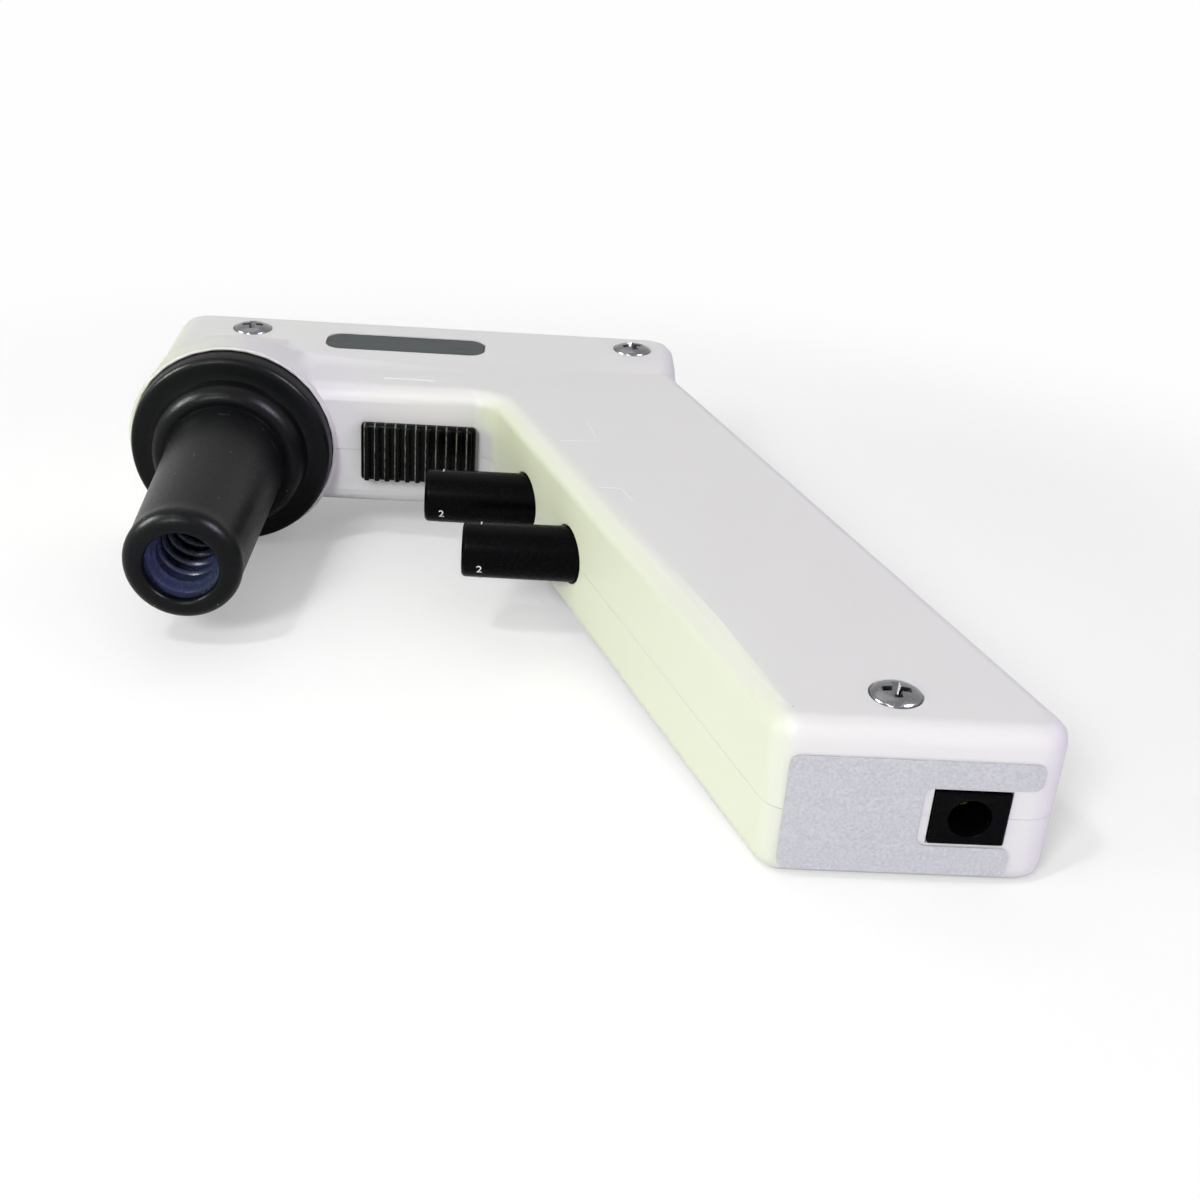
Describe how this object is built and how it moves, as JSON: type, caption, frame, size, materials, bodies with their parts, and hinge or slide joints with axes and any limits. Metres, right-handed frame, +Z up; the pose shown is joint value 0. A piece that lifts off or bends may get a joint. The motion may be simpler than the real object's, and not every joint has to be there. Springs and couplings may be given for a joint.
{
  "type": "pipette controller",
  "caption": "Cordless pipette controller lying on its side: slanted handle, head with black rubber nose cone, turning triggers, mode slide and charging jack.",
  "frame": {"origin": "centre of the outline on the surface that the controller lies on, below its middle", "axes": "+X along the head towards the handle, +Y from the handle's base end towards the head's back, +Z up; the nose points to -Y and the triggers to -X"},
  "size_m": [0.1576, 0.1534, 0.0414],
  "materials": {
    "housing_plastic": "fine satin moulding",
    "nose_rubber": "satin",
    "gloss_black": "gloss",
    "black_nylon": "matte",
    "bright_steel": "bright",
    "spring_steel": "bright drawn",
    "brass": "turned",
    "blue_silicone": "satin",
    "clear_silicone": "satin",
    "seal_rubber": "matte",
    "foil_label": "speckled foil",
    "badge_grey": "satin",
    "white_acetal": "satin",
    "board_green": "satin solder resist",
    "cell_jacket": "shrink sleeve",
    "motor_can": "plated",
    "lead_red": "satin",
    "filter_white": "matte"
  },
  "bodies": {
    "housing": {"lower_housing": "housing_plastic", "upper_housing": "housing_plastic", "screw_nose_end": "bright_steel", "screw_back_corner": "bright_steel", "screw_base_end": "bright_steel", "badge_plate": "badge_grey", "base_label": "foil_label", "dc_jack": "gloss_black", "jack_pin": "brass", "charging_board": "board_green", "battery_cell_a": "cell_jacket", "battery_cell_b": "cell_jacket", "cell_link_strap": "spring_steel", "motor": "motor_can", "pump_body": "black_nylon", "pump_head": "white_acetal", "pump_diaphragm": "seal_rubber", "connecting_rod": "white_acetal", "fill_valve_body": "white_acetal", "dispense_valve_body": "white_acetal", "fill_switch": "black_nylon", "dispense_switch": "black_nylon", "fill_spring": "spring_steel", "dispense_spring": "spring_steel", "mode_switch": "black_nylon", "hose_manifold": "white_acetal", "vacuum_hose": "clear_silicone", "pressure_hose": "clear_silicone", "fill_valve_hose": "clear_silicone", "dispense_valve_hose": "clear_silicone", "nose_hose": "clear_silicone", "jack_lead": "lead_red", "motor_lead_a": "lead_red", "motor_lead_b": "lead_red", "nose_socket": "white_acetal", "socket_seal": "clear_silicone"},
    "fill_stem": {"fill_valve_stem": "spring_steel", "fill_valve_seal": "seal_rubber"},
    "fill_dial": {"fill_trigger": "gloss_black"},
    "fill_lever": {"fill_switch_lever": "spring_steel"},
    "dispense_stem": {"dispense_valve_stem": "spring_steel", "dispense_valve_seal": "seal_rubber"},
    "dispense_dial": {"dispense_trigger": "gloss_black"},
    "dispense_lever": {"dispense_switch_lever": "spring_steel"},
    "mode_switch_slide": {"mode_slide": "black_nylon", "mode_carriage": "white_acetal"},
    "rotor": {"motor_shaft": "spring_steel", "pump_crank": "brass"},
    "nose_core": {"pipette_insert": "blue_silicone", "membrane_filter": "filter_white"},
    "nose": {"nose_cone": "nose_rubber"}
  },
  "joints": [
    {"name": "fill_press", "type": "slide", "parent": "housing", "child": "fill_stem", "axis": [1, 0, 0], "range_m": [0, 0.0035], "stiffness_N_per_m": 300, "springref_m": -0.003, "deforming": ["fill_spring"]},
    {"name": "fill_dial_turn", "type": "hinge", "parent": "fill_stem", "child": "fill_dial", "pos_m": [0.00562, 0.02124, 0.01915], "axis": [1, 0, 0], "range_deg": [-120, 120]},
    {"name": "fill_lever_swing", "type": "hinge", "parent": "housing", "child": "fill_lever", "pos_m": [0.00766, 0.03351, 0.02007], "axis": [0, -0.0745, 0.9972], "range_deg": [0, 30]},
    {"name": "dispense_press", "type": "slide", "parent": "housing", "child": "dispense_stem", "axis": [1, 0, 0], "range_m": [0, 0.0035], "stiffness_N_per_m": 300, "springref_m": -0.003, "deforming": ["dispense_spring"]},
    {"name": "dispense_dial_turn", "type": "hinge", "parent": "dispense_stem", "child": "dispense_dial", "pos_m": [0.0137, -0.0003, 0.01754], "axis": [1, 0, 0], "range_deg": [-120, 120]},
    {"name": "dispense_lever_swing", "type": "hinge", "parent": "housing", "child": "dispense_lever", "pos_m": [0.01575, 0.01197, 0.01846], "axis": [0, -0.0745, 0.9972], "range_deg": [0, 30]},
    {"name": "mode_select", "type": "slide", "parent": "housing", "child": "mode_switch_slide", "axis": [-1, 0, 0], "range_m": [0, 0.0035]},
    {"name": "motor_spin", "type": "hinge", "parent": "housing", "child": "rotor", "pos_m": [-0.02081, 0.06323, 0.02228], "axis": [1, 0, 0], "continuous": true},
    {"name": "nose_advance", "type": "slide", "parent": "housing", "child": "nose_core", "axis": [0, -0.9972, -0.0745], "range_m": [0, 0.006]},
    {"name": "nose_unscrew", "type": "hinge", "parent": "nose_core", "child": "nose", "pos_m": [-0.05821, 0.03959, 0.02052], "axis": [0, -0.9972, -0.0745], "range_deg": [0, 540]}
  ],
  "couplings": [
    {"joint": "fill_lever_swing", "follows": "fill_press", "rad_per_m": 149.6},
    {"joint": "dispense_lever_swing", "follows": "dispense_press", "rad_per_m": 149.6},
    {"joint": "nose_unscrew", "follows": "nose_advance", "rad_per_m": 1570.8}
  ]
}
